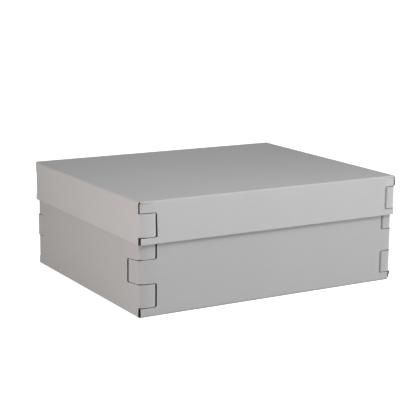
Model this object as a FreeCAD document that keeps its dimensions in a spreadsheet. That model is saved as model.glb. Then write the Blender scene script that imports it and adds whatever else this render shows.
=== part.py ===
"""Archival box of grey board: a tray and a lift-off lid with interlocking corners.

Tray and lid are each cut and creased from one sheet of solid board. The walls fold up from the
panel, and at every corner the tabs of one wall wrap round the corner, lie in a notch of the next
wall and tuck in behind it, so that nothing is glued, stapled or riveted.

Frame: millimetres, +X along the long side, +Y from front to back, +Z up. The origin is the middle
of the surface that the tray stands on. Each panel, wall and tab, bounded by its creases and cuts,
is a body of its own.
"""
import FreeCAD, Part
import math
import os
import Sketcher
from collections import namedtuple
from FreeCAD import Placement, Rotation, Vector

# name, value in mm, meaning
SIZES = [
    ("lid_length", 400.0, "outside length of the lid, along X"),
    ("lid_width", 325.0, "outside width of the lid, along Y"),
    ("lid_depth", 55.0, "outside depth of the lid"),
    ("box_height", 150.0, "height of the closed box"),
    ("board", 1.6, "thickness of the board"),
    ("end_gap", 0.5, "room between the end walls of lid and tray"),
    ("tuck_room", 0.5, "room between a tucked lid tab and the tray's long wall"),
    ("tuck_gap", 0.3, "room between a tucked tab and the wall that holds it"),
    ("cut_gap", 0.5, "gap along a cut edge, between a tab and its notch"),
    ("tray_crease", 1.6, "inner radius of the fold round the tray's base"),
    ("lid_side_crease", 0.4, "inner radius of the lid's folds along X"),
    ("lid_end_crease", 1.8, "inner radius of the lid's folds along Y"),
    ("tab_crease", 2.9, "inner radius of a tab's bend round the corner"),
    ("tray_foot_band", 12.0, "plain band of the tray's corners above the base"),
    ("tray_rim_band", 11.6, "plain band of the tray's corners below the rim"),
    ("lid_head_band", 15.0, "plain band of the lid's corners below the top"),
    ("lid_rim_band", 8.6, "plain band of the lid's corners above the rim"),
    ("long_side_cut", 24.5, "depth of a notch in a side wall, front left and back right"),
    ("long_end_cut", 30.0, "depth of a notch in an end wall, front left and back right"),
    ("short_cut", 17.0, "depth of a notch at the other two corners"),
    ("cut_round", 2.5, "radius of a notch's inner corners"),
    ("tuck", 14.0, "length of tab behind the wall that holds it"),
    ("tip_chamfer", 4.0, "chamfer of a tab's tip"),
]
TRAY_TABS = 4          # at each corner of the tray, in turn from the end wall and the side wall

BOARD = "Sizes.board"
GAP = "Sizes.cut_gap"
BEND = f"(Sizes.tab_crease + {BOARD})"
BACK_SET = f"({BOARD} + Sizes.tuck_gap)"

# One tray or lid: outside sizes, heights of its walls, outer radii of its folds and the levels
# where the corner bands meet. Heights and levels count from the outer face of its panel.
Shell = namedtuple("Shell", "name length width side_height end_height side_fold end_fold levels")
# What a wall's end does between two levels: stop at the corner, run into its own tab, or make
# room for the other wall's tab.
PLAIN, TAB, NOTCH = "plain", "tab", "notch"
# One step of an outline: a line, or an arc with the given radius, to the point x, y.
Step = namedtuple("Step", "x y radius left_turn", defaults=(None, True))


def make_shells():
    """Returns the tray's and the lid's sizes as expressions on the sheet."""
    tray_height = f"(Sizes.box_height - {BOARD})"
    pitch = f"(({tray_height} - Sizes.tray_foot_band - Sizes.tray_rim_band) / {TRAY_TABS})"
    tray_levels = [f"(Sizes.tray_foot_band + {n} * {pitch})" for n in range(TRAY_TABS + 1)]
    tray = Shell(
        "tray",
        f"(Sizes.lid_length - 2 * ({BOARD} + Sizes.end_gap))",
        f"(Sizes.lid_width - 2 * (2 * {BOARD} + Sizes.tuck_gap + Sizes.tuck_room))",
        tray_height,
        f"({tray_height} - Sizes.lid_end_crease)",     # clear of the curve in the lid's end folds
        f"(Sizes.tray_crease + {BOARD})",
        f"(Sizes.tray_crease + {BOARD})",
        tray_levels,
    )
    lid = Shell(
        "lid",
        "Sizes.lid_length",
        "Sizes.lid_width",
        "Sizes.lid_depth",
        "Sizes.lid_depth",
        f"(Sizes.lid_side_crease + {BOARD})",
        f"(Sizes.lid_end_crease + {BOARD})",
        ["Sizes.lid_head_band", "(Sizes.lid_depth - Sizes.lid_rim_band)"],
    )
    return tray, lid


def make_sheet(doc):
    """Writes the driving sizes into the spreadsheet that every body is bound to."""
    sheet = doc.addObject("Spreadsheet::Sheet", "Sizes")
    for row, (name, value, meaning) in enumerate(SIZES, start=1):
        sheet.set(f"A{row}", meaning)
        sheet.set(f"B{row}", str(value))
        sheet.setAlias(f"B{row}", name)
    doc.recompute()
    return sheet


def new_sketch(body, name, role):
    """Adds a sketch to a body, on the body's own origin plane of that role."""
    sketch = body.newObject("Sketcher::SketchObject", name)
    plane = next(f for f in body.Origin.OriginFeatures if f.Role == role)
    sketch.AttachmentSupport = [(plane, "")]
    sketch.MapMode = "FlatFace"
    return sketch


def arc_between(start, end, radius, left_turn):
    """Returns the smaller arc from start to end, which turns left or right on its way."""
    chord = end - start
    reach = math.sqrt(max(radius ** 2 - chord.Length ** 2 / 4, 0.0))
    side = Vector(-chord.y, chord.x, 0).normalize() * (reach if left_turn else -reach)
    centre = start + chord / 2 + side
    first, last = (start, end) if left_turn else (end, start)
    angles = [math.atan2(p.y - centre.y, p.x - centre.x) for p in (first, last)]
    if angles[1] < angles[0]:
        angles[1] += 2 * math.pi
    return Part.ArcOfCircle(Part.Circle(centre, Vector(0, 0, 1), radius), *angles)


def draw(sketch, steps):
    """Draws a closed outline, with each point and each radius bound to its expression."""
    def value(expression):
        return float(sketch.evalExpression(expression))

    def bind(kind, place, expression):
        index = sketch.addConstraint(Sketcher.Constraint(kind, *place, value(expression)))
        sketch.setExpression(f"Constraints[{index}]", expression)

    points = [Vector(value(step.x), value(step.y), 0) for step in steps]
    ends = []           # for each piece: its number, and which of its ends starts and finishes it
    for number, step in enumerate(steps):
        start, end = points[number - 1], points[number]
        if step.radius is None:
            piece = sketch.addGeometry(Part.LineSegment(start, end), False)
            ends.append((piece, 1, 2))
        else:
            arc = arc_between(start, end, value(step.radius), step.left_turn)
            piece = sketch.addGeometry(arc, False)
            ends.append((piece, 1, 2) if step.left_turn else (piece, 2, 1))
    for number, step in enumerate(steps):
        piece, _, finish = ends[number]
        following, begin, _ = ends[(number + 1) % len(steps)]
        sketch.addConstraint(Sketcher.Constraint("Coincident", piece, finish, following, begin))
        bind("DistanceX", (-1, 1, piece, finish), step.x)
        bind("DistanceY", (-1, 1, piece, finish), step.y)
        if step.radius is not None:
            bind("Radius", (piece,), step.radius)


def pad(body, sketch, name, length, both_ways=False, backwards=False):
    """Pads a sketch by a length given as an expression."""
    feature = body.newObject("PartDesign::Pad", name)
    feature.Profile = sketch
    feature.setExpression("Length", length)
    feature.Midplane = both_ways
    feature.Reversed = backwards
    return feature


def place(body, origin, x_axis, y_axis, z_axis):
    """Turns a body to three axes and binds its origin to three expressions."""
    body.Placement = Placement(Vector(), Rotation(x_axis, y_axis, z_axis, "XYZ"))
    for axis, expression in zip("xyz", origin):
        body.setExpression(f"Placement.Base.{axis}", expression)


def wall_end(shell, length, height, own_fold, kinds, cut, hand):
    """Returns the steps up one end of a wall's face; hand is 1 at its +X end and -1 at its -X end.

    The wall stops a board's thickness from the corner where the end is plain, at the bend where
    its own tab begins, and at the notch's depth where the other wall's tab lies.
    """
    half = f"({length} / 2)"
    levels = [own_fold, *shell.levels, height]
    stops = {PLAIN: f"({BOARD} + {GAP} / 2)", TAB: BEND, NOTCH: cut}

    def x(inset):
        return f"{hand} * ({half} - {inset})"

    steps = []
    for low, high, kind in zip(levels, levels[1:], kinds):
        if kind != NOTCH:
            steps += [Step(x(stops[kind]), low), Step(x(stops[kind]), high)]
            continue
        flat = f"({cut} - Sizes.cut_round)"
        steps += [
            Step(x(flat), low),
            Step(x(cut), f"({low} + Sizes.cut_round)", "Sizes.cut_round", hand < 0),
            Step(x(cut), f"({high} - Sizes.cut_round)"),
            Step(x(flat), high, "Sizes.cut_round", hand < 0),
        ]
    return steps


def mirrored(steps):
    """Returns a path's steps in the other direction, less the first line, which joins it on."""
    turned = []
    for number in range(len(steps) - 1, -1, -1):
        here = steps[number]
        onward = steps[number + 1] if number + 1 < len(steps) else None
        if onward is not None and onward.radius is not None:
            turned.append(Step(here.x, here.y, onward.radius, not onward.left_turn))
        else:
            turned.append(Step(here.x, here.y))
    return turned


def make_wall(doc, shell, name, length, height, own_fold, next_fold, kinds, low_cut, high_cut):
    """Makes one wall with the fold that joins it to the panel.

    In the wall's own frame the outer face is the plane y = 0, the board lies at positive y, z
    counts from the panel's outer face, and the wall runs both ways along x from its middle.
    """
    body = doc.addObject("PartDesign::Body", name)
    face = new_sketch(body, f"{name}_face", "XZ_Plane")
    right = wall_end(shell, length, height, own_fold, kinds, high_cut, 1)
    left = wall_end(shell, length, height, own_fold, kinds, low_cut, -1)
    draw(face, right + mirrored(left))
    pad(body, face, f"{name}_board", BOARD, backwards=True)

    fold = new_sketch(body, f"{name}_fold_section", "YZ_Plane")
    draw(fold, [
        Step("0", own_fold),
        Step(own_fold, "0", own_fold, True),
        Step(own_fold, BOARD),
        Step(BOARD, own_fold, f"({own_fold} - {BOARD})", False),
    ])
    fold_length = f"({length} - 2 * {BOARD} - {GAP})"
    pad(body, fold, f"{name}_fold", fold_length, both_ways=True)
    doc.recompute()
    whole = body.Shape.Volume

    relief = new_sketch(body, f"{name}_relief", "XY_Plane")
    for hand in (1, -1):
        inner = f"{hand} * ({length} / 2 - {next_fold})"
        outer = f"{hand} * {length} / 2"
        draw(relief, [Step(inner, BOARD), Step(outer, BOARD), Step(outer, own_fold), Step(inner, own_fold)])
    pocket = body.newObject("PartDesign::Pocket", f"{name}_corner_relief")
    pocket.Profile = relief
    pocket.setExpression("Length", own_fold)
    pocket.Reversed = True
    doc.recompute()
    if not body.Shape.Volume < whole:
        raise ValueError(f"the corner relief of {name} removes nothing")
    return body


def make_panel(doc, shell, name, bottom):
    """Makes the flat panel between the folds, with its lower face at the level given."""
    panel = doc.addObject("Part::Box", name)
    panel.setExpression("Length", f"{shell.length} - 2 * {shell.end_fold}")
    panel.setExpression("Width", f"{shell.width} - 2 * {shell.side_fold}")
    panel.setExpression("Height", BOARD)
    panel.setExpression("Placement.Base.x", f"{shell.end_fold} - {shell.length} / 2")
    panel.setExpression("Placement.Base.y", f"{shell.side_fold} - {shell.width} / 2")
    panel.setExpression("Placement.Base.z", bottom)
    return panel


def make_tab(doc, name, height, cut):
    """Makes one locking tab: the bend round the corner, the slope into the notch and the tip.

    In the tab's own frame z runs along the corner. The wall that it grows from comes down the
    y axis, with its outer face at x = 0, and the tab lies along the x axis of the next wall.
    """
    body = doc.addObject("PartDesign::Body", name)
    plan = new_sketch(body, f"{name}_plan", "XY_Plane")
    behind = f"({cut} - Sizes.cut_round)"
    tip = f"({cut} + Sizes.tuck)"
    inner_level = f"({BACK_SET} + {BOARD})"
    draw(plan, [
        Step("0", BEND),
        Step(BEND, "0", BEND, True),
        Step(behind, BACK_SET),
        Step(tip, BACK_SET),
        Step(tip, inner_level),
        Step(behind, inner_level),
        Step(BEND, BOARD),
        Step(BOARD, BEND, "Sizes.tab_crease", False),
    ])
    board = pad(body, plan, f"{name}_board", height)
    doc.recompute()
    end = max(vertex.X for vertex in board.Shape.Vertexes)
    corners = [
        f"Edge{number}"
        for number, edge in enumerate(board.Shape.Edges, start=1)
        if all(abs(v.X - end) < 1e-6 for v in edge.Vertexes)
        and abs(edge.Vertexes[0].Z - edge.Vertexes[-1].Z) < 1e-6
    ]
    if len(corners) != 2:
        raise ValueError(f"the tip of {name} has {len(corners)} corners, not 2")
    chamfer = body.newObject("PartDesign::Chamfer", f"{name}_tip")
    chamfer.Base = (board, corners)
    chamfer.setExpression("Size", "Sizes.tip_chamfer")
    return body


def make_walls(doc, shell, upright, side_kinds, end_kinds):
    """Makes and places the four walls of a tray, which stand up, or of a lid, which hang down."""
    z_axis = Vector(0, 0, 1 if upright else -1)
    level = "0" if upright else "Sizes.box_height"
    sides = {
        "front_wall": (Vector(0, 1, 0), ("0", f"-{shell.width} / 2")),
        "back_wall": (Vector(0, -1, 0), ("0", f"{shell.width} / 2")),
    }
    ends = {
        "left_end_wall": (Vector(1, 0, 0), (f"-{shell.length} / 2", "0")),
        "right_end_wall": (Vector(-1, 0, 0), (f"{shell.length} / 2", "0")),
    }
    side_sizes = (shell.length, shell.side_height, shell.side_fold, shell.end_fold)
    end_sizes = (shell.width, shell.end_height, shell.end_fold, shell.side_fold)
    walls = []
    for group, kinds, sizes, long_cut in (
        (sides, side_kinds, side_sizes, "Sizes.long_side_cut"),
        (ends, end_kinds, end_sizes, "Sizes.long_end_cut"),
    ):
        for name, (inward, origin) in group.items():
            x_axis = inward.cross(z_axis)
            low_corner = inward * -1 - x_axis
            low_is_long = low_corner.x * low_corner.y > 0
            cuts = (long_cut, "Sizes.short_cut") if low_is_long else ("Sizes.short_cut", long_cut)
            wall = make_wall(doc, shell, f"{shell.name}_{name}", *sizes, kinds, *cuts)
            place(wall, (*origin, level), x_axis, inward, z_axis)
            walls.append(wall)
    return walls


def make_corner_tabs(doc, shell, upright):
    """Makes the tabs of all four corners, the first of each corner from the end wall."""
    tabs = []
    for x_side, x_name in ((-1, "left"), (1, "right")):
        for y_side, y_name in ((-1, "front"), (1, "back")):
            is_long = x_side * y_side > 0
            for number, (low, high) in enumerate(zip(shell.levels, shell.levels[1:])):
                from_end = number % 2 == 0
                long_cut = "Sizes.long_side_cut" if from_end else "Sizes.long_end_cut"
                cut = long_cut if is_long else "Sizes.short_cut"
                name = f"{shell.name}_{y_name}_{x_name}_tab"
                if len(shell.levels) > 2:
                    name = f"{name}_{number + 1}"
                tab = make_tab(doc, name, f"({high} - {low} - 2 * {GAP})", cut)
                along, across = Vector(-x_side, 0, 0), Vector(0, -y_side, 0)
                x_axis, y_axis = (along, across) if from_end else (across, along)
                z_axis = x_axis.cross(y_axis)
                bottom, top = (low, high) if upright else (high, low)
                start = bottom if z_axis.z > 0 else top
                level = start if upright else f"(Sizes.box_height - {start})"
                origin = (
                    f"{x_side} * {shell.length} / 2",
                    f"{y_side} * {shell.width} / 2",
                    f"{level} + {int(z_axis.z)} * {GAP}",
                )
                place(tab, origin, x_axis, y_axis, z_axis)
                tabs.append(tab)
    return tabs


def check(doc, pieces):
    """Stops the build if any object failed or any piece isn't one valid solid."""
    for item in doc.Objects:
        if "Invalid" in item.State or "Error" in item.State:
            raise ValueError(f"{item.Label} did not recompute: {item.State}")
    for piece in pieces:
        shape = piece.Shape
        if shape.isNull() or not shape.isValid() or len(shape.Solids) != 1:
            raise ValueError(f"{piece.Label} is not one valid solid")


def main():
    """Builds the box and writes one STEP file for each piece."""
    doc = FreeCAD.newDocument("ArchivalBox")
    make_sheet(doc)
    tray, lid = make_shells()

    pieces = [
        make_panel(doc, tray, "tray_base_panel", "0"),
        make_panel(doc, lid, "lid_top_panel", f"Sizes.box_height - {BOARD}"),
    ]
    tray_sides = [PLAIN, *(NOTCH if n % 2 == 0 else TAB for n in range(TRAY_TABS)), PLAIN]
    tray_ends = [PLAIN, *(TAB if n % 2 == 0 else NOTCH for n in range(TRAY_TABS)), PLAIN]
    pieces += make_walls(doc, tray, True, tray_sides, tray_ends)
    pieces += make_walls(doc, lid, False, [PLAIN, NOTCH, PLAIN], [PLAIN, TAB, PLAIN])
    pieces += make_corner_tabs(doc, tray, True)
    pieces += make_corner_tabs(doc, lid, False)
    doc.recompute()
    check(doc, pieces)

    os.makedirs("parts", exist_ok=True)
    for piece in pieces:
        piece.Shape.exportStep(os.path.join("parts", f"{piece.Label}.step"))
    print(f"{len(pieces)} pieces written")


main()
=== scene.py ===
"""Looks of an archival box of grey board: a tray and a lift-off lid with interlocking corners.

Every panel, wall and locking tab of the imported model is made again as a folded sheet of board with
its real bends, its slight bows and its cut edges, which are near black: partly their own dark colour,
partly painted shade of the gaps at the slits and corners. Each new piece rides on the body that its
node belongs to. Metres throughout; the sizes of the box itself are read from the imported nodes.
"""
import logging
import math
from collections.abc import Callable, Iterable, Iterator
from contextlib import contextmanager
from dataclasses import dataclass, field
from enum import Enum

import bmesh
import bpy
from mathutils import Matrix, Vector


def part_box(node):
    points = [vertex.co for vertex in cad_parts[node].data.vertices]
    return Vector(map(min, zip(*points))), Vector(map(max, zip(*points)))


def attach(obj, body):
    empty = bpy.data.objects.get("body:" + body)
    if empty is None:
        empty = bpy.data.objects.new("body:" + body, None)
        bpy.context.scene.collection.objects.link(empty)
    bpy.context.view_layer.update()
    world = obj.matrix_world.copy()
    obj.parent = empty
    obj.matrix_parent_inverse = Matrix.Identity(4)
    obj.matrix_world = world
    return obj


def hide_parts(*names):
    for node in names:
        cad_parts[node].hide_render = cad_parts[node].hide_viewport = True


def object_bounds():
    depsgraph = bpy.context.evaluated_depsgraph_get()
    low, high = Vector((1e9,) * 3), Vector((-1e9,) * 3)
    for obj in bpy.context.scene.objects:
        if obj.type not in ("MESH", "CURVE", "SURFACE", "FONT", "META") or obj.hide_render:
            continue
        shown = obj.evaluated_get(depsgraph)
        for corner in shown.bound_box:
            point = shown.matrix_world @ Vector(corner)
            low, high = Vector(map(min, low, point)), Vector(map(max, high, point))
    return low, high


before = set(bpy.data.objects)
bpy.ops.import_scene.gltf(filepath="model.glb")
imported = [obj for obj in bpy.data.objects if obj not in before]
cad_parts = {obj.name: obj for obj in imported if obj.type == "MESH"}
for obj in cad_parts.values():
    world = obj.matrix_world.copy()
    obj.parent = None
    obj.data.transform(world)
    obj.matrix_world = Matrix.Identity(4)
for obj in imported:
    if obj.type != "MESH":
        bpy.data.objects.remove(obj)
CAD_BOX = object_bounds()

log = logging.getLogger("archival_box")

MM = 0.001
NEAR = 0.02 * MM                 # how close a point lies to a line that it belongs to
X, Y, Z = Vector((1, 0, 0)), Vector((0, 1, 0)), Vector((0, 0, 1))

# Sizes of the construction that the nodes' boxes don't show
TAB_BEND = 4.5 * MM              # outer radius of a tab's bend round the corner
TUCK = 14 * MM                   # length of tab behind the wall that holds it
TUCK_GAP = 0.3 * MM              # room between a tucked tab and that wall
TIP_CHAMFER = 4 * MM             # chamfer of a tab's tip
CUT_ROUND = 1.6 * MM             # radius of a notch's inner corners
CUT_GAP = 0.5 * MM               # gap that the nodes leave between a tab and its notch
BLUNT = 0.12 * MM                # how far the edges of a cut are blunted
PAINTED_SHADE_BAND = 0.7 * MM                # how far the dark cut material reaches onto the outer face at the upright cut edges: painted shade that widens the shadowed lines at the slits and corners
FLAT_LEAD = 0.3 * MM             # flat strip where a tab leaves its own wall
OUTER_SIDE = 1.2 * MM            # a cut edge that lies no deeper than this is on the outer face
SMOOTH_ANGLE = math.radians(28)  # faces that meet at less than this are shaded as one


class Element(Enum):
    """What is selected in edit mode."""

    VERTEX = 0
    EDGE = 1
    FACE = 2


class Band(Enum):
    """What a wall's end does in one band of a corner."""

    PLAIN = "stops just short of the corner"
    TAB = "runs into its own tab"
    NOTCH = "makes room for the next wall's tab"


class Falloff(Enum):
    """How the board follows a pull: evenly, hollowed out, or with a soft start."""

    EVEN = "LINEAR"
    HOLLOW = "SHARP"
    SOFT = "SMOOTH"


class Slot(Enum):
    """The two materials of every piece, in the order of its material slots."""

    FACE = 0
    CUT = 1


# ---------------------------------------------------------------- edit mode


@contextmanager
def editing(piece: bpy.types.Object) -> Iterator[None]:
    """Opens a piece in edit mode with nothing selected, and closes it again."""
    bpy.ops.object.select_all(action="DESELECT")
    piece.select_set(True)
    bpy.context.view_layer.objects.active = piece
    bpy.ops.object.mode_set(mode="EDIT")
    bpy.ops.mesh.select_all(action="DESELECT")
    yield
    bpy.ops.object.mode_set(mode="OBJECT")


def select(kind: Element, test: Callable[[Vector], bool]) -> int:
    """Selects the vertices, edges or faces of the open piece that pass a test.

    Args:
        kind: what to select.
        test: is given each vertex, both ends of an edge, or the middle of a face.

    Returns:
        How many were selected.
    """
    bpy.ops.mesh.select_all(action="DESELECT")
    bpy.context.tool_settings.mesh_select_mode = tuple(kind.value == n for n in range(3))
    data = bpy.context.edit_object.data
    mesh = bmesh.from_edit_mesh(data)
    found = 0
    for item in (mesh.verts, mesh.edges, mesh.faces)[kind.value]:
        if kind is Element.FACE:
            passes = test(item.calc_center_median())
        else:
            ends = [item] if kind is Element.VERTEX else item.verts
            passes = all(test(vertex.co) for vertex in ends)
        if passes:
            item.select_set(True)
            found += 1
    mesh.select_flush_mode()
    bmesh.update_edit_mesh(data)
    return found


def split(direction: Vector, places: Iterable[float]) -> None:
    """Divides the open piece all the way across at each place along a direction."""
    for place in places:
        bpy.ops.mesh.select_all(action="SELECT")
        bpy.ops.mesh.bisect(plane_co=direction * place, plane_no=direction)
    bpy.ops.mesh.select_all(action="DESELECT")


def move(
    test: Callable[[Vector], bool], offset: Vector, reach: float = 0.0, falloff: Falloff = Falloff.SOFT
) -> None:
    """Moves the vertices that pass a test.

    Args:
        test: picks the vertices.
        offset: how far they move.
        reach: how far from them the board still follows, less and less.
        falloff: the way in which it follows.
    """
    if not select(Element.VERTEX, test):
        raise ValueError("no vertex to move")
    settings = {}
    if reach:
        settings = {
            "use_proportional_edit": True,
            "proportional_edit_falloff": falloff.value,
            "proportional_size": reach,
            "use_proportional_connected": True,
        }
    bpy.ops.transform.translate(value=offset, **settings)


def close_to(first: float, second: float) -> bool:
    """Tells whether two lengths are the same, give or take a hair."""
    return abs(first - second) < NEAR


def on_end(end: float, low: float, high: float) -> Callable[[Vector], bool]:
    """Makes a test that finds a stretch of a wall's end.

    Args:
        end: where the end lies along x.
        low: where the stretch starts along z.
        high: where it stops.

    Returns:
        The test, which is given a vertex.
    """
    return lambda point: close_to(point.x, end) and low - NEAR < point.z < high + NEAR


def add_sheet(name: str, low: tuple[float, float], high: tuple[float, float]) -> bpy.types.Object:
    """Adds a flat sheet in the plane y = 0 that faces -y.

    Args:
        name: name of the piece.
        low: x and z of its lowest corner.
        high: x and z of its highest corner.

    Returns:
        The new object, at the origin.
    """
    bpy.ops.object.select_all(action="DESELECT")
    middle = ((low[0] + high[0]) / 2, 0, (low[1] + high[1]) / 2)
    bpy.ops.mesh.primitive_plane_add(size=1, location=middle, rotation=(math.pi / 2, 0, 0))
    sheet = bpy.context.object
    sheet.name = sheet.data.name = name
    sheet.scale = (high[0] - low[0], high[1] - low[1], 1)
    bpy.ops.object.transform_apply(location=True, rotation=True, scale=True)
    return sheet


def face_outwards(outer: Callable[[Vector], bool], outward: Vector) -> None:
    """Merges doubles and turns all faces of the open sheet the same way, outwards.

    Args:
        outer: picks some faces whose outside is known.
        outward: the way those faces look.
    """
    bpy.ops.mesh.select_all(action="SELECT")
    bpy.ops.mesh.remove_doubles(threshold=NEAR / 4)
    bpy.ops.mesh.normals_make_consistent(inside=False)
    select(Element.FACE, outer)
    mesh = bmesh.from_edit_mesh(bpy.context.edit_object.data)
    facing = sum(face.normal.dot(outward) for face in mesh.faces if face.select)
    bpy.ops.mesh.select_all(action="SELECT")
    if facing < 0:
        bpy.ops.mesh.flip_normals()
    bpy.ops.mesh.select_all(action="DESELECT")


def select_cuts(joins: Callable[[Vector], bool], upright: bool) -> None:
    """Selects the edges between a face of the board and its cut.

    Args:
        joins: picks the places where the board carries on in another piece and isn't cut.
        upright: whether to take only upright edges of the outer face, or all the others.
    """
    data = bpy.context.edit_object.data
    bpy.ops.mesh.select_all(action="DESELECT")
    bpy.context.tool_settings.mesh_select_mode = (False, True, False)
    mesh = bmesh.from_edit_mesh(data)
    for edge in mesh.edges:
        ends = [vertex.co for vertex in edge.verts]
        rise = abs(ends[0].z - ends[1].z)
        is_upright = rise > 0.9 * edge.calc_length() and all(end.y < OUTER_SIDE for end in ends)
        materials = {face.material_index for face in edge.link_faces}
        is_cut = len(materials) == 2 and not all(joins(end) for end in ends)
        edge.select_set(is_cut and is_upright == upright)
    mesh.select_flush_mode()
    bmesh.update_edit_mesh(data)


def thicken(piece: bpy.types.Object, board: float, joins: Callable[[Vector], bool]) -> None:
    """Gives a sheet its thickness, inwards, with dark rims, painted shade along its upright outer cut
    edges and blunted cut edges.

    Args:
        piece: the sheet, with its two material slots filled.
        board: thickness of the board.
        joins: picks the places where the sheet carries on in another piece and isn't cut.
    """
    wall = piece.modifiers.new("board", "SOLIDIFY")
    wall.thickness = board
    wall.offset = -1
    wall.use_even_offset = True
    wall.use_rim = True
    wall.material_offset_rim = Slot.CUT.value
    bpy.context.view_layer.objects.active = piece
    bpy.ops.object.modifier_apply(modifier="board")
    with editing(piece):
        select_cuts(joins, True)
        # Painted shade: a band of the dark cut material on the outer face along the upright cut edges,
        # standing for the shade in the slits and at the corners.
        bpy.ops.mesh.bevel(offset=PAINTED_SHADE_BAND, segments=1, affect="EDGES", material=Slot.CUT.value)
        select_cuts(joins, False)
        bpy.ops.mesh.bevel(offset=BLUNT, segments=1, affect="EDGES", clamp_overlap=True)
    bpy.ops.object.select_all(action="DESELECT")
    piece.select_set(True)
    bpy.context.view_layer.objects.active = piece
    bpy.ops.object.shade_smooth_by_angle(angle=SMOOTH_ANGLE)


def settle(piece: bpy.types.Object, place: Matrix) -> None:
    """Puts a piece in its place and leaves that place in its mesh.

    Args:
        piece: the finished piece, in its own frame.
        place: where its frame stands on the box.
    """
    piece.matrix_world = place
    bpy.ops.object.select_all(action="DESELECT")
    piece.select_set(True)
    bpy.context.view_layer.objects.active = piece
    bpy.ops.object.transform_apply(location=True, rotation=True, scale=True)


def axes(origin: Vector, x_axis: Vector, y_axis: Vector, z_axis: Vector) -> Matrix:
    """Works out the place of a piece.

    Args:
        origin: where its own origin lies.
        x_axis: the unit vector along its own x axis.
        y_axis: the same for y.
        z_axis: the same for z.

    Returns:
        The matrix that takes the piece there.
    """
    turned = Matrix((x_axis, y_axis, z_axis)).transposed().to_4x4()
    turned.translation = origin
    return turned


# ---------------------------------------------------------------- shader maths


class Value:
    """A socket of a node tree, on which sums are written as Python expressions."""

    def __init__(self, graph: "Graph", socket: bpy.types.NodeSocket) -> None:
        """Keeps the socket and the graph that it belongs to."""
        self.graph = graph
        self.socket = socket

    def _sum(self, operation: str, *terms: "Value | float") -> "Value":
        """Adds a Math node for one operation."""
        return self.graph.node("ShaderNodeMath", {"operation": operation}, *terms)

    def __add__(self, other: "Value | float") -> "Value":
        """Returns self + other."""
        return self._sum("ADD", self, other)

    def __sub__(self, other: "Value | float") -> "Value":
        """Returns self - other."""
        return self._sum("SUBTRACT", self, other)

    def __rsub__(self, other: float) -> "Value":
        """Returns other - self."""
        return self._sum("SUBTRACT", other, self)

    def __mul__(self, other: "Value | float") -> "Value":
        """Returns self * other."""
        return self._sum("MULTIPLY", self, other)

    __radd__ = __add__
    __rmul__ = __mul__

    def ramp(self, start: float, end: float) -> "Value":
        """Returns a soft step from 0 at start to 1 at end; start may be the larger."""
        settings = {"interpolation_type": "SMOOTHSTEP"}
        return self.graph.node("ShaderNodeMapRange", settings, self, start, end, 0.0, 1.0)


class Graph:
    """Makes the nodes of one material or world."""

    def __init__(self, tree: bpy.types.NodeTree) -> None:
        """Clears the tree and starts from nothing."""
        self.tree = tree
        tree.nodes.clear()

    def node(
        self,
        kind: str,
        settings: dict[str, object],
        *inputs: "Value | float | None",
        output: str | int = 0,
        **named: "Value | float | tuple[float, ...]",
    ) -> Value:
        """Adds one node.

        Args:
            kind: the node's type.
            settings: its properties, set before its sockets.
            inputs: values or links of its sockets, in order; None leaves one as it is.
            output: the output that is handed on.
            named: values or links of its sockets by name, with _ for a space.

        Returns:
            The chosen output, or the node's first input if it has no output.
        """
        made = self.tree.nodes.new(kind)
        for name, setting in settings.items():
            setattr(made, name, setting)
        sockets = list(zip(made.inputs, inputs))
        sockets += [(made.inputs[name.replace("_", " ")], value) for name, value in named.items()]
        for socket, value in sockets:
            if isinstance(value, Value):
                self.tree.links.new(value.socket, socket)
            elif value is not None:
                socket.default_value = value
        return Value(self, made.outputs[output] if made.outputs else made.inputs[0])

    def mix(self, share: Value | float, first: object, second: object) -> Value:
        """Mixes two colours.

        Args:
            share: the share of the second one.
            first: a colour, or a link to one.
            second: the same.

        Returns:
            The mixed colour.
        """
        made = self.tree.nodes.new("ShaderNodeMix")
        made.data_type = "RGBA"
        colours = [socket for socket in made.inputs if socket.type == "RGBA"]
        for socket, value in zip([made.inputs[0], *colours], (share, first, second)):
            if isinstance(value, Value):
                self.tree.links.new(value.socket, socket)
            else:
                socket.default_value = value
        return Value(self, next(socket for socket in made.outputs if socket.type == "RGBA"))

    def noise(
        self, where: Value, per_metre: float, detail: float = 2.0, roughness: float = 0.5
    ) -> Value:
        """Adds noise.

        Args:
            where: the place that it is read at.
            per_metre: how many blotches there are to the metre.
            detail: how many finer layers lie on it.
            roughness: how strong the finer layers are.

        Returns:
            The noise, between 0 and 1.
        """
        return self.node(
            "ShaderNodeTexNoise", {}, Vector=where, Scale=per_metre, Detail=detail, Roughness=roughness
        )


def shade(colour: tuple[float, float, float], factor: float = 1.0) -> tuple[float, ...]:
    """Returns a colour times a factor, with full opacity."""
    return (*(channel * factor for channel in colour), 1.0)


@dataclass(frozen=True)
class Finish:
    """A material made of nodes; each kind says what its surface is like."""

    name: str
    colour: tuple[float, float, float]

    def surface(self, graph: Graph, place: Value) -> dict[str, object]:
        """Works out the shader's sockets.

        Args:
            graph: makes the nodes.
            place: where a point lies on the object.

        Returns:
            The value or link of each socket, by its name.
        """
        raise NotImplementedError

    def make(self) -> bpy.types.Material:
        """Makes the material.

        Returns:
            The material.
        """
        material = bpy.data.materials.new(self.name)
        material.use_nodes = True
        graph = Graph(material.node_tree)
        place = graph.node("ShaderNodeTexCoord", {}, output="Object")
        shader = graph.node("ShaderNodeBsdfPrincipled", {}, **self.surface(graph, place))
        graph.node("ShaderNodeOutputMaterial", {}, Surface=shader)
        return material


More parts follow.
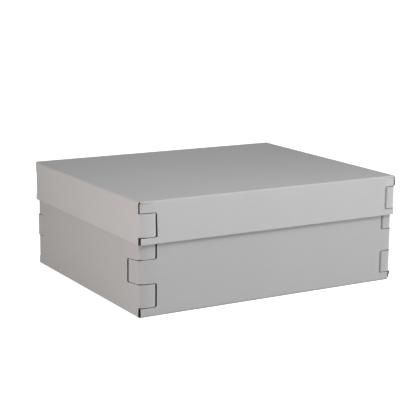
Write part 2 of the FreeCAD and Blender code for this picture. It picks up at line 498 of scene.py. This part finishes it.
@dataclass(frozen=True)
class BoardFinish(Finish):
    """Uncoated grey solid board: soft clouds, short fibres, dark flecks and a fine tooth."""

    roughness: float = 0.82
    clouds_per_metre: float = 9.0
    pulp_per_metre: float = 140.0
    fibres_per_metre: float = 1500.0
    flecks_per_metre: float = 620.0
    cloud_share: float = 0.035       # how much lighter and darker the clouds are
    fibre_share: float = 0.07        # the same of the short fibres
    fleck_share: float = 0.12        # how much of a fleck's dark shows

    def surface(self, graph: Graph, place: Value) -> dict[str, object]:
        """Mixes the board's colour, roughness and tooth, as in Finish."""
        clouds = graph.noise(place, self.clouds_per_metre, 3.0, 0.55)
        pulp = graph.noise(place, self.pulp_per_metre, 3.0, 0.6)
        stretched = graph.node(
            "ShaderNodeMapping", {}, place, Scale=(0.35, 1.0, 0.8), Rotation=(0.3, 0.5, 0.9)
        )
        fibres = graph.noise(stretched, self.fibres_per_metre, 2.0, 0.65)
        flecks = graph.noise(stretched, self.flecks_per_metre, 1.0, 0.4).ramp(0.66, 0.76)
        tone = 0.5 + (clouds - 0.5) * 1.6 + (pulp - 0.5) * 0.9
        light = shade(self.colour, 1 + self.cloud_share)
        dark = shade(self.colour, 1 - self.cloud_share)
        warm = (light[0], light[1] * 0.995, light[2] * 0.985, 1.0)
        colour = graph.mix(tone, dark, warm)
        grain = (fibres - 0.5) * (2 * self.fibre_share)
        dark_fibre = shade(self.colour, 1 - self.fibre_share)
        light_fibre = shade(self.colour, 1 + self.fibre_share)
        colour = graph.mix(0.4, colour, graph.mix(0.5 + grain * 3, dark_fibre, light_fibre))
        colour = graph.mix(flecks * self.fleck_share, colour, shade(self.colour, 0.55))
        tooth = fibres * 0.7 + pulp * 0.3
        bump = graph.node("ShaderNodeBump", {}, Strength=0.22, Distance=0.12 * MM, Height=tooth)
        rough = self.roughness + (pulp - 0.5) * 0.14
        return {"Base_Color": colour, "Roughness": rough, "Normal": bump, "Specular_IOR_Level": 0.35}


@dataclass(frozen=True)
class CutFinish(Finish):
    """The cut edge of the board, with the fine layers of the pulp: near black, partly its own dark
    colour and partly painted shade of the gaps at the slits and corners.
    """

    name: str = "cut_edge_with_painted_shade"
    # Near black: partly the cut's own colour, partly painted shade of the shadowed gaps that the cut
    # edges face.
    colour: tuple[float, float, float] = (0.006, 0.0055, 0.005)
    layers_per_metre: float = 2600.0
    cut_blotches_per_metre: float = 160.0

    def surface(self, graph: Graph, place: Value) -> dict[str, object]:
        """Mixes the cut's colour, roughness and layers, as in Finish."""
        layers = graph.noise(place, self.layers_per_metre, 2.0, 0.6)
        cut_blotches = graph.noise(place, self.cut_blotches_per_metre, 2.0, 0.5)
        colour = graph.mix(layers * 0.7 + cut_blotches * 0.3, shade(self.colour, 0.5), shade(self.colour, 1.9))
        rough = 0.86 + cut_blotches * 0.12
        bump = graph.node("ShaderNodeBump", {}, Strength=0.5, Distance=0.1 * MM, Height=layers)
        return {"Base_Color": colour, "Roughness": rough, "Normal": bump, "Specular_IOR_Level": 0.15}


@dataclass(frozen=True)
class FloorFinish(Finish):
    """A pale studio floor; it glows to the eye, as a cove lit from behind does, and lights little."""

    name: str = "studio_floor"
    colour: tuple[float, float, float] = (0.5, 0.5, 0.5)
    glow: tuple[float, float, float] = (1.0, 1.0, 1.0)        # what the eye sees
    spill: tuple[float, float, float] = (0.14, 0.14, 0.14)    # what reaches the box

    def surface(self, graph: Graph, place: Value) -> dict[str, object]:
        """Mixes the floor's colour and glow, as in Finish."""
        cloud = graph.noise(place, 3.0)
        colour = graph.mix(cloud, shade(self.colour, 0.99), shade(self.colour, 1.01))
        seen = graph.node("ShaderNodeLightPath", {}, output="Is Camera Ray")
        glow = graph.mix(seen, shade(self.spill), shade(self.glow))
        return {
            "Base_Color": colour, "Roughness": 0.9, "Specular_IOR_Level": 0.0,
            "Emission_Color": glow, "Emission_Strength": 1.0,
        }


# ---------------------------------------------------------------- pieces


@dataclass
class Board:
    """One piece of the box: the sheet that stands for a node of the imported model."""

    node: str
    body: str
    thickness: float
    finishes: tuple[bpy.types.Material, bpy.types.Material]

    def blank(self, low: tuple[float, float], high: tuple[float, float]) -> bpy.types.Object:
        """Adds the flat sheet that the piece is folded from, with its two materials.

        Args:
            low: x and z of its lowest corner.
            high: x and z of its highest corner.

        Returns:
            The sheet.
        """
        sheet = add_sheet(f"{self.node}_board", low, high)
        for finish in self.finishes:
            sheet.data.materials.append(finish)
        return sheet

    def hand_over(self, piece: bpy.types.Object) -> bpy.types.Object:
        """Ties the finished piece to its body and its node.

        Args:
            piece: the finished piece, in its place.

        Returns:
            The same piece.
        """
        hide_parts(self.node)
        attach(piece, self.body)
        log.info("%s: %d faces", piece.name, len(piece.data.polygons))
        return piece


@dataclass(frozen=True)
class Strain:
    """How a tab strains the corner that it locks."""

    pull: float = 0.5 * MM       # how far its root is pulled in, together with the end of its own wall
    sink: float = 0.3 * MM       # how far its bend ends behind the next wall's plane
    skew: float = 0.0            # how much it runs away from the panel as it leaves the corner
    late: float = 0.0            # how much further out it dives behind the next wall


@dataclass(frozen=True)
class Curl:
    """How the end of a wall stands off its plane in one band of a corner."""

    side: int                    # -1 at the wall's left or front end, 1 at its right or back end
    band: int                    # counted from the fold
    outward: float               # how far the end stands out; less than 0 is inwards
    reach: float                 # how far from the end the wall is still bent
    falloff: Falloff = Falloff.HOLLOW
    part: tuple[float, float] = (0.0, 1.0)      # the share of the band's height that is pulled


@dataclass(frozen=True)
class Shift:
    """How the two inner corners of a notch, counted from the fold, lie off their place."""

    side: int                    # as in Curl
    band: int
    deeper: tuple[float, float] = (0.0, 0.0)
    further: tuple[float, float] = (0.0, 0.0)   # further from the panel


@dataclass
class Wall(Board):
    """A wall with the fold that joins it to its panel.

    In its own frame the outer face is the plane y = 0, the board lies at positive y, z counts from
    the panel's outer face, and the wall runs both ways along x from its middle.
    """

    length: float
    height: float
    own_fold: float              # outer radius of its fold
    next_fold: float             # outer radius of its neighbours' folds
    levels: tuple[float, ...]    # where the corner's bands meet
    bands: tuple[Band, ...]
    cuts: tuple[float, float]    # depth of the notches at the -x end and at the +x end
    place: Matrix
    sense: int                   # 1 if the wall's x axis runs to the right or back, -1 if not
    pulls: tuple[tuple[float, ...], ...]        # for each end: how far each tab's root is pulled in
    curls: list[Curl] = field(default_factory=list)
    shifts: list[Shift] = field(default_factory=list)

    def stop(self, band: Band, hand: int) -> float:
        """Works out how far from the corner the wall ends.

        Args:
            band: what its end does there.
            hand: -1 at the -x end, 1 at the +x end.

        Returns:
            The distance.
        """
        stops = {
            Band.PLAIN: self.thickness + CUT_GAP / 2,
            Band.TAB: TAB_BEND + FLAT_LEAD,
            Band.NOTCH: self.cuts[hand > 0],
        }
        return stops[band]

    def end_at(self, band: Band, hand: int) -> float:
        """Returns where the wall ends along x in a band; hand is as in stop."""
        return hand * (self.length / 2 - self.stop(band, hand))

    def edges(self) -> list[tuple[float, float, Band]]:
        """Returns each band's lowest and highest level, and what the wall's end does there."""
        bounds = [self.own_fold, *self.levels, self.height]
        return list(zip(bounds, bounds[1:], self.bands))

    def is_waste(self, point: Vector) -> bool:
        """Finds what is cut away.

        Args:
            point: the middle of a face.

        Returns:
            Whether it lies in a notch, or beyond the end of its band.
        """
        inset = self.length / 2 - abs(point.x)
        hand = 1 if point.x > 0 else -1
        return any(
            low < point.z < high and inset < self.stop(band, hand) for low, high, band in self.edges()
        )

    def is_notch_corner(self, point: Vector) -> bool:
        """Finds the inner corners of the notches.

        Args:
            point: a vertex, which may have been shifted a little.

        Returns:
            Whether it is such a corner.
        """
        near = 3 * MM
        hand = 1 if point.x > 0 else -1
        inset = self.length / 2 - abs(point.x)
        return any(
            band is Band.NOTCH and abs(inset - self.stop(band, hand)) < near
            and min(abs(point.z - low), abs(point.z - high)) < near
            for low, high, band in self.edges()
        )

    def shift_corners(self) -> None:
        """Moves the inner corners of some notches a little."""
        for shift in self.shifts:
            hand = shift.side * self.sense
            low, high, band = self.edges()[shift.band]
            corner_x = self.end_at(band, hand)
            for level, deeper, further in zip((low, high), shift.deeper, shift.further):
                move(
                    lambda point: close_to(point.x, corner_x) and close_to(point.z, level),
                    Vector((-hand * deeper, 0, further)),
                )

    def columns(self) -> list[float]:
        """Works out where the wall is divided along x, closely near the corners and widely between.

        Returns:
            The places.
        """
        close, wide, far = 3 * MM, 32 * MM, 60 * MM
        root = self.length / 2 - TAB_BEND - FLAT_LEAD
        near_end = [root - step * close for step in range(1, int(far / close))]
        middle = min(near_end)
        count = math.ceil(2 * middle / wide)
        between = [-middle + 2 * middle * step / count for step in range(1, count)]
        return [*near_end, *(-place for place in near_end), *between]

    def rows(self) -> list[float]:
        """Works out where the wall is divided along z, at and between the levels.

        Returns:
            The places.
        """
        rows = []
        for low, high, band in self.edges():
            tall = 3 * MM if band is Band.PLAIN else 8 * MM
            count = max(1, round((high - low) / tall))
            rows += [low + (high - low) * step / count for step in range(1, count + 1)]
        return rows[:-1]

    def fold_over(self) -> None:
        """Folds the lower edge inwards, and mitres the fold's ends against the next folds."""
        steps = 8
        radius = self.own_fold
        centre = Vector((0, radius, radius))
        select(Element.EDGE, lambda point: close_to(point.z, radius))
        bpy.ops.mesh.spin(steps=steps, angle=math.pi / 2, center=centre, axis=-X)
        start = self.stop(Band.PLAIN, 1)
        for step in range(1, steps + 1):
            angle = math.pi / 2 * step / steps
            depth, level = radius * (1 - math.cos(angle)), radius * (1 - math.sin(angle))
            share = (depth - start) / (radius - start)
            if share <= 0:
                continue
            inset = (self.next_fold - start) * share
            for hand in (1, -1):
                end = hand * (self.length / 2 - start)
                move(
                    lambda point: close_to(point.x, end) and close_to(point.z, level)
                    and close_to(point.y, depth),
                    X * (-hand * inset),
                )

    def bend(self) -> None:
        """Curls the ends of the wall's bands and pulls in the tabs' roots, with the fold held still."""
        select(Element.VERTEX, lambda point: point.z < self.own_fold - NEAR)
        bpy.ops.mesh.hide()
        for curl in self.curls:
            hand = curl.side * self.sense
            low, high, band = self.edges()[curl.band]
            bottom, top = (low + (high - low) * share for share in curl.part)
            curled = on_end(self.end_at(band, hand), bottom, top)
            move(curled, Y * -curl.outward, curl.reach, curl.falloff)
        self.pull_in()
        bpy.ops.mesh.reveal(select=False)

    def pull_in(self) -> None:
        """Pulls the ends of the bands that run into tabs, and leaves them exactly at the tabs' roots."""
        reach = 20 * MM
        for hand, pulls in zip((-1, 1), self.pulls):
            for pull, (low, high, band) in zip(pulls, self.edges()[1:]):
                if band is not Band.TAB:
                    continue
                root = on_end(self.end_at(band, hand), low, high)
                move(root, Y * pull, reach, Falloff.HOLLOW)
                select(Element.VERTEX, root)
                bpy.ops.transform.resize(value=(1, 0, 1), center_override=Y * pull)

    def build(self) -> bpy.types.Object:
        """Cuts out, folds and thickens the wall.

        Returns:
            The finished piece.
        """
        end = self.end_at(Band.PLAIN, 1)
        piece = self.blank((-end, self.own_fold), (end, self.height))
        with editing(piece):
            stops = {self.end_at(band, hand) for band in self.bands for hand in (1, -1)}
            split(X, stops - {end, -end})
            split(Z, self.levels)
            select(Element.FACE, self.is_waste)
            bpy.ops.mesh.delete(type="FACE")
            bpy.ops.mesh.select_all(action="SELECT")
            bpy.ops.mesh.dissolve_limited(angle_limit=math.radians(1))
            self.shift_corners()
            select(Element.VERTEX, self.is_notch_corner)
            bpy.ops.mesh.bevel(offset=CUT_ROUND, segments=5, affect="VERTICES")
            split(X, self.columns())
            split(Z, self.rows())
            self.fold_over()
            face_outwards(lambda point: close_to(point.y, 0), -Y)
            self.bend()
        thicken(piece, self.thickness, self.joins)
        settle(piece, self.place)
        return self.hand_over(piece)

    def joins(self, point: Vector) -> bool:
        """Finds where the wall carries on in its panel or in a tab.

        Args:
            point: a vertex of the thickened board.

        Returns:
            Whether it lies there.
        """
        inset = self.length / 2 - abs(point.x)
        at_panel = close_to(point.y, self.own_fold)
        at_tab = close_to(inset, TAB_BEND + FLAT_LEAD) and any(
            band is Band.TAB and low - NEAR < point.z < high + NEAR for low, high, band in self.edges()
        )
        return at_panel or at_tab


@dataclass
class LockingTab(Board):
    """A tab that wraps round the corner, slopes into a notch and is tucked behind the next wall.

    In its own frame z runs along the corner. The wall that it grows from comes down the y axis,
    with its outer face at x = 0, and the tab lies along the x axis of the next wall.
    """

    height: float
    cut: float                   # depth of the notch that it lies in
    place: Matrix
    strain: Strain
    skew: float                  # how much it climbs along x, in its own frame

    def behind(self) -> float:
        """Returns how far from the corner the tab is all the way behind the next wall."""
        return self.cut + self.strain.late - CUT_ROUND / 2

    def depth(self, place: float) -> float:
        """Works out how far the tab lies behind the next wall's face.

        Args:
            place: a distance from the corner.

        Returns:
            The depth there: a shallow sink that fades out, then the steep dive behind the wall.
        """
        behind = self.behind()
        dive = 2.6 * MM
        crest = TAB_BEND + (behind - TAB_BEND) * 0.6
        shallow = self.strain.sink * max(0.0, (crest - place) / (crest - TAB_BEND)) ** 2
        steep = (self.thickness + TUCK_GAP) * min(1.0, max(0.0, 1 - (behind - place) / dive)) ** 2
        return shallow + steep

    def bend_round(self) -> None:
        """Spins the bend round the corner and adds the flat strip that the wall runs into."""
        select(Element.EDGE, lambda point: close_to(point.x, TAB_BEND))
        centre = Vector((TAB_BEND, TAB_BEND, 0))
        bpy.ops.mesh.spin(steps=10, angle=math.pi / 2, center=centre, axis=Z)
        select(Element.EDGE, lambda point: close_to(point.x, 0))
        bpy.ops.mesh.extrude_region_move(TRANSFORM_OT_translate={"value": Y * FLAT_LEAD})
        select(Element.VERTEX, lambda point: point.x < TAB_BEND + NEAR)
        shares = [(TAB_BEND - depth) / TAB_BEND for depth in (self.strain.pull, self.strain.sink)]
        bpy.ops.transform.resize(value=(*shares, 1), center_override=centre)
        move(lambda point: point.y > TAB_BEND + NEAR, Y * FLAT_LEAD * (1 - shares[1]))

    def build(self) -> bpy.types.Object:
        """Bends, tucks, chamfers and thickens the tab.

        Returns:
            The finished piece.
        """
        behind = self.behind()
        tip = self.cut + TUCK
        parts, rows = 16, 4
        columns = [TAB_BEND + (behind - TAB_BEND) * step / parts for step in range(1, parts)]
        piece = self.blank((TAB_BEND, 0), (behind, self.height))
        with editing(piece):
            split(Z, [self.height * step / rows for step in range(1, rows)])
            split(X, columns)
            self.bend_round()
            select(Element.EDGE, lambda point: close_to(point.x, behind))
            bpy.ops.mesh.extrude_region_move(TRANSFORM_OT_translate={"value": X * (tip - behind)})
            for column in [*columns, behind, tip]:
                offset = Vector((0, self.depth(column), self.skew * (column - TAB_BEND)))
                move(lambda point: close_to(point.x, column), offset)
            select(Element.VERTEX, self.is_tip_corner)
            bpy.ops.mesh.bevel(offset=TIP_CHAMFER, segments=1, affect="VERTICES")
            face_outwards(lambda point: TAB_BEND < point.x < behind, -Y)
        thicken(piece, self.thickness, lambda point: close_to(point.y, TAB_BEND + FLAT_LEAD))
        settle(piece, self.place)
        return self.hand_over(piece)

    def is_tip_corner(self, point: Vector) -> bool:
        """Finds the two corners of the tip.

        Args:
            point: a vertex.

        Returns:
            Whether it is one of them.
        """
        climb = self.skew * (self.cut + TUCK - TAB_BEND)
        at_end = close_to(point.z, climb) or close_to(point.z, self.height + climb)
        return at_end and close_to(point.x, self.cut + TUCK)


@dataclass
class Panel(Board):
    """The flat panel between the folds; in its own frame its outer face is y = 0 and faces -y."""

    length: float
    width: float
    place: Matrix
    sag: float = 0.0             # how far its middle hangs inwards

    def build(self) -> bpy.types.Object:
        """Divides, sags and thickens the panel.

        Returns:
            The finished piece.
        """
        half_length, half_width = self.length / 2, self.width / 2
        piece = self.blank((-half_length, -half_width), (half_length, half_width))
        parts = 14
        with editing(piece):
            split(X, [self.length * (step / parts - 0.5) for step in range(1, parts)])
            split(Z, [self.width * (step / parts - 0.5) for step in range(1, parts)])
            move(
                lambda point: abs(point.x) < self.length * 0.1 and abs(point.z) < self.width * 0.1,
                Y * self.sag,
                self.width * 0.38,
            )
        thicken(piece, self.thickness, self.joins)
        settle(piece, self.place)
        return self.hand_over(piece)

    def joins(self, point: Vector) -> bool:
        """Finds the panel's border, all of which carries on in a fold.

        Args:
            point: a vertex of the thickened board.

        Returns:
            Whether it lies there.
        """
        along = close_to(abs(point.x), self.length / 2)
        across = close_to(abs(point.z), self.width / 2)
        return along or across


# ---------------------------------------------------------------- tray and lid


@dataclass
class Shell:
    """A tray or a lid: one blank of board, folded up from its panel."""

    name: str
    upright: bool                # True if its panel lies below its walls
    tabs: int                    # at each corner
    finishes: tuple[bpy.types.Material, bpy.types.Material]
    sag: float = 0.0             # how far its panel's middle hangs inwards
    curls: dict[str, list[Curl]] = field(default_factory=dict)
    shifts: dict[str, list[Shift]] = field(default_factory=dict)
    strains: dict[str, Strain] = field(default_factory=dict)

    def __post_init__(self) -> None:
        """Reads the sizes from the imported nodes."""
        panel = "base" if self.upright else "top"
        self.panel_node = f"{self.name}_{panel}_panel"
        self.panel_low, self.panel_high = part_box(self.panel_node)
        self.thickness = self.panel_high.z - self.panel_low.z
        low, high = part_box(f"{self.name}_front_wall")
        self.half_width = -low.y
        self.half_length = -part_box(f"{self.name}_left_end_wall")[0].x
        self.up = Z if self.upright else -Z
        self.ground = low.z if self.upright else high.z
        self.side_fold = self.half_width - self.panel_high.y
        self.end_fold = self.half_length - self.panel_high.x
        self.levels = self.read_levels()

    def level(self, height: float) -> float:
        """Returns how far from the panel's outer face a height is."""
        return (height - self.ground) * self.up.z

    def tab_name(self, x_side: int, y_side: int, number: int) -> str:
        """Finds the node's name of one tab.

        Args:
            x_side: -1 for a left corner, 1 for a right one.
            y_side: -1 for a front corner, 1 for a back one.
            number: the tab's number, counted from 0 at the panel.

        Returns:
            The name.
        """
        y_name, x_name = ("front", "back")[y_side > 0], ("left", "right")[x_side > 0]
        name = f"{self.name}_{y_name}_{x_name}_tab"
        return name if self.tabs == 1 else f"{name}_{number + 1}"

    def strain(self, node: str) -> Strain:
        """Returns how one tab strains its corner."""
        return self.strains.get(node.removeprefix(f"{self.name}_"), Strain())

    def read_levels(self) -> tuple[float, ...]:
        """Reads where the bands of a corner meet.

        Returns:
            The levels, counted from the panel's outer face.
        """
        levels = []
        for number in range(self.tabs):
            low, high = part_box(self.tab_name(-1, -1, number))
            spans = sorted((self.level(low.z), self.level(high.z)))
            levels.append(spans[0] - CUT_GAP)
        return (*levels, spans[1] + CUT_GAP)

    def cut(self, x_side: int, y_side: int, on_side: bool) -> float:
        """Reads the depth of the notches at one corner.

        Args:
            x_side: -1 for a left corner, 1 for a right one.
            y_side: -1 for a front corner, 1 for a back one.
            on_side: True for the side wall's notches, False for the end wall's.

        Returns:
            The depth, or 0 where there is no such notch.
        """
        number = 0 if on_side else 1
        if number >= self.tabs:
            return 0.0
        low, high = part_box(self.tab_name(x_side, y_side, number))
        return (high.x - low.x if on_side else high.y - low.y) - TUCK

    def common(self, node: str) -> dict[str, object]:
        """Returns what all pieces of the shell share."""
        return {"node": node, "body": self.name, "thickness": self.thickness, "finishes": self.finishes}

    def make_panel(self) -> None:
        """Builds the flat panel."""
        size = self.panel_high - self.panel_low
        middle = (self.panel_low + self.panel_high) / 2
        middle.z = self.ground
        x_axis = self.up.cross(Y)
        place = axes(middle, x_axis, self.up, x_axis.cross(self.up))
        Panel(
            **self.common(self.panel_node), length=size.x, width=size.y, place=place, sag=self.sag
        ).build()

    def make_walls(self) -> None:
        """Builds the four walls."""
        side_bands = [Band.NOTCH if number % 2 == 0 else Band.TAB for number in range(self.tabs)]
        end_bands = [Band.TAB if number % 2 == 0 else Band.NOTCH for number in range(self.tabs)]
        plans = (
            ("front_wall", Y, side_bands, True), ("back_wall", -Y, side_bands, True),
            ("left_end_wall", X, end_bands, False), ("right_end_wall", -X, end_bands, False),
        )
        for suffix, inward, bands, on_side in plans:
            node = f"{self.name}_{suffix}"
            low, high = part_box(node)
            x_axis = inward.cross(self.up)
            reach = self.half_width if on_side else self.half_length
            place = axes(-inward * reach + Z * self.ground, x_axis, inward, self.up)
            cuts, pulls = [], []
            for hand in (-1, 1):
                corner = x_axis * hand - inward
                x_side, y_side = round(corner.x), round(corner.y)
                cuts.append(self.cut(x_side, y_side, on_side))
                nodes = [self.tab_name(x_side, y_side, number) for number in range(self.tabs)]
                pulls.append(tuple(self.strain(node).pull for node in nodes))
            Wall(
                **self.common(node),
                length=2 * (self.half_length if on_side else self.half_width),
                height=max(abs(self.level(low.z)), abs(self.level(high.z))),
                own_fold=self.side_fold if on_side else self.end_fold,
                next_fold=self.end_fold if on_side else self.side_fold,
                levels=self.levels,
                bands=(Band.PLAIN, *bands, Band.PLAIN),
                cuts=tuple(cuts),
                place=place,
                sense=round(x_axis.x + x_axis.y),
                pulls=tuple(pulls),
                curls=self.curls.get(suffix, []),
                shifts=self.shifts.get(suffix, []),
            ).build()

    def make_tabs(self) -> None:
        """Builds the tabs of all four corners."""
        for x_side in (-1, 1):
            for y_side in (-1, 1):
                for number in range(self.tabs):
                    node = self.tab_name(x_side, y_side, number)
                    low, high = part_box(node)
                    from_end = number % 2 == 0
                    along, across = X * -x_side, Y * -y_side
                    x_axis, y_axis = (along, across) if from_end else (across, along)
                    z_axis = x_axis.cross(y_axis)
                    origin = Vector((x_side * self.half_length, y_side * self.half_width, 0))
                    origin.z = low.z if z_axis.z > 0 else high.z
                    LockingTab(
                        **self.common(node),
                        height=high.z - low.z,
                        cut=self.cut(x_side, y_side, from_end),
                        place=axes(origin, x_axis, y_axis, z_axis),
                        strain=self.strain(node),
                        skew=self.strain(node).skew * z_axis.dot(self.up),
                    ).build()

    def build(self) -> None:
        """Builds every piece of the shell."""
        self.make_panel()
        self.make_walls()
        self.make_tabs()


# ---------------------------------------------------------------- studio


@dataclass
class Softbox:
    """A square area light that looks at a point."""

    name: str
    place: tuple[float, float, float]
    aim: tuple[float, float, float]
    size: float
    watts: float
    colour: tuple[float, float, float]

    def build(self) -> None:
        """Adds the light."""
        direction = Vector(self.aim) - Vector(self.place)
        turn = direction.to_track_quat("-Z", "Y").to_euler()
        bpy.ops.object.light_add(type="AREA", location=self.place, rotation=turn)
        light = bpy.context.object
        light.name = light.data.name = self.name
        light.data.shape = "SQUARE"
        light.data.size = self.size
        light.data.energy = self.watts
        light.data.color = self.colour
        light.visible_camera = False


@dataclass
class Studio:
    """The plain floor, the soft light and the camera."""

    camera_place: tuple[float, float, float] = (-0.8818, -1.4758, 0.4593)
    yaw: float = math.radians(30.80)         # from +Y towards +X
    pitch: float = math.radians(12.14)       # below the horizon
    roll: float = math.radians(0.703)
    lens: float = 105.9                      # on a sensor 36 mm wide
    floor_size: float = 14.0
    sky: tuple[float, float, float] = (0.18, 0.18, 0.18)      # its light on the box

    def make_camera(self) -> None:
        """Adds the camera."""
        data = bpy.data.cameras.new("camera")
        data.lens = self.lens
        data.sensor_width = 36.0
        camera = bpy.data.objects.new("camera", data)
        bpy.context.scene.collection.objects.link(camera)
        aim = Matrix.Rotation(-self.yaw, 4, "Z") @ Matrix.Rotation(math.pi / 2 - self.pitch, 4, "X")
        upright = Matrix.Rotation(self.roll, 4, "Z")
        camera.matrix_world = Matrix.Translation(self.camera_place) @ aim @ upright
        bpy.context.scene.camera = camera

    def make_floor(self) -> None:
        """Adds the floor just under the tray."""
        bpy.ops.object.select_all(action="DESELECT")
        bpy.ops.mesh.primitive_plane_add(size=self.floor_size, location=(0, 0, CAD_BOX[0].z))
        floor = bpy.context.object
        floor.name = floor.data.name = "studio_floor"
        bpy.ops.object.transform_apply(location=True, rotation=True, scale=True)
        floor.data.materials.append(FloorFinish().make())

    def make_sky(self) -> None:
        """Makes the surroundings white to the eye and dimmer as a light."""
        world = bpy.data.worlds.new("studio")
        bpy.context.scene.world = world
        world.use_nodes = True
        graph = Graph(world.node_tree)
        seen = graph.node("ShaderNodeLightPath", {}, output="Is Camera Ray")
        colour = graph.mix(seen, (*self.sky, 1.0), (1.0, 1.0, 1.0, 1.0))
        light = graph.node("ShaderNodeBackground", {}, Color=colour, Strength=1.0)
        graph.node("ShaderNodeOutputWorld", {}, Surface=light)

    def make_lights(self) -> None:
        """Adds near softboxes in front, above and at the left, and far low ones right and behind."""
        wall, lid, box = (0.05, -0.16, 0.12), (-0.1, -0.1, 0.14), (0, 0, 0.08)
        small, middling, large = 0.25, 0.5, 1.0
        Softbox("front_softbox", (0.12, -0.72, 0.84), wall, small, 4.5, (0.98, 0.97, 1.0)).build()
        Softbox("top_softbox", (-0.12, -0.45, 0.85), lid, small, 1.0, (1.0, 1.0, 0.99)).build()
        Softbox("right_softbox", (2.34, -1.09, 0.26), box, large, 79, (0.955, 0.963, 1.0)).build()
        Softbox("left_softbox", (-1.10, -0.30, 0.20), box, middling, 7.6, (1.0, 0.93, 0.905)).build()
        Softbox("back_softbox", (1.0, 2.4, 0.22), box, large, 26, (1.0, 1.0, 1.0)).build()

    def build(self) -> None:
        """Builds the studio."""
        self.make_camera()
        self.make_floor()
        self.make_sky()
        self.make_lights()
        bpy.context.scene.view_settings.view_transform = "Standard"


def make_box() -> None:
    """Builds the tray and the lid."""
    cut = CutFinish().make()
    # The tray and the lid are the same grey board, but the lid's colour is painted lighter and the
    # tray's darker: painted light on the lid and painted shade on the tray, for the light that falls off
    # from the lid down to the tray.
    tray_face_painted_darker = BoardFinish("tray_board", (0.390, 0.390, 0.387)).make()
    lid_face_painted_lighter = BoardFinish("lid_board", (0.440, 0.440, 0.438)).make()
    slanted = -0.095             # how the near corner's second tab runs down as it leaves the corner
    dropped = 30 * MM * slanted  # the same at the far end of its notch, 30 mm from the corner
    Shell(
        "tray", True, 4, (tray_face_painted_darker, cut),
        curls={
            "front_wall": [
                Curl(-1, 0, -0.8 * MM, 14 * MM, part=(0.4, 1.0)),
                Curl(-1, 5, -0.8 * MM, 14 * MM),
            ],
            "right_end_wall": [Curl(-1, 0, 1.8 * MM, 12 * MM, part=(0.5, 1.0))],
        },
        shifts={
            "left_end_wall": [
                Shift(-1, 2, deeper=(1.5 * MM, 1.5 * MM), further=(dropped, dropped)),
            ],
        },
        strains={
            "front_left_tab_1": Strain(0.5 * MM, 2.1 * MM),
            "front_left_tab_2": Strain(2.2 * MM, 0.3 * MM, slanted, 1.5 * MM),
            "front_left_tab_3": Strain(0.5 * MM, 1.9 * MM),
            "front_left_tab_4": Strain(1.5 * MM, 0.3 * MM),
            "back_left_tab_2": Strain(0.5 * MM, -1.2 * MM),
            "front_right_tab_1": Strain(-1.4 * MM, 0.0),
            "front_right_tab_2": Strain(0.3 * MM, -1.3 * MM),
            "front_right_tab_3": Strain(-0.3 * MM, 0.0),
        },
    ).build()
    Shell(
        "lid", False, 1, (lid_face_painted_lighter, cut), sag=0.6 * MM,
        curls={
            "front_wall": [
                Curl(-1, 0, -2.3 * MM, 19 * MM, Falloff.EVEN),
                Curl(1, 0, -1.8 * MM, 14 * MM, Falloff.EVEN),
            ],
            "right_end_wall": [Curl(-1, 0, 1.2 * MM, 12 * MM, part=(0.5, 1.0))],
        },
        shifts={"front_wall": [Shift(-1, 1, deeper=(-0.4 * MM, 1.1 * MM))]},
        strains={"front_left_tab": Strain(0.4 * MM, 2.1 * MM, late=0.4 * MM)},
    ).build()


def main() -> None:
    """Builds the studio and the box."""
    logging.basicConfig(level=logging.INFO, format="%(name)s: %(message)s")
    Studio().build()
    make_box()


if __name__ == "__main__":
    main()
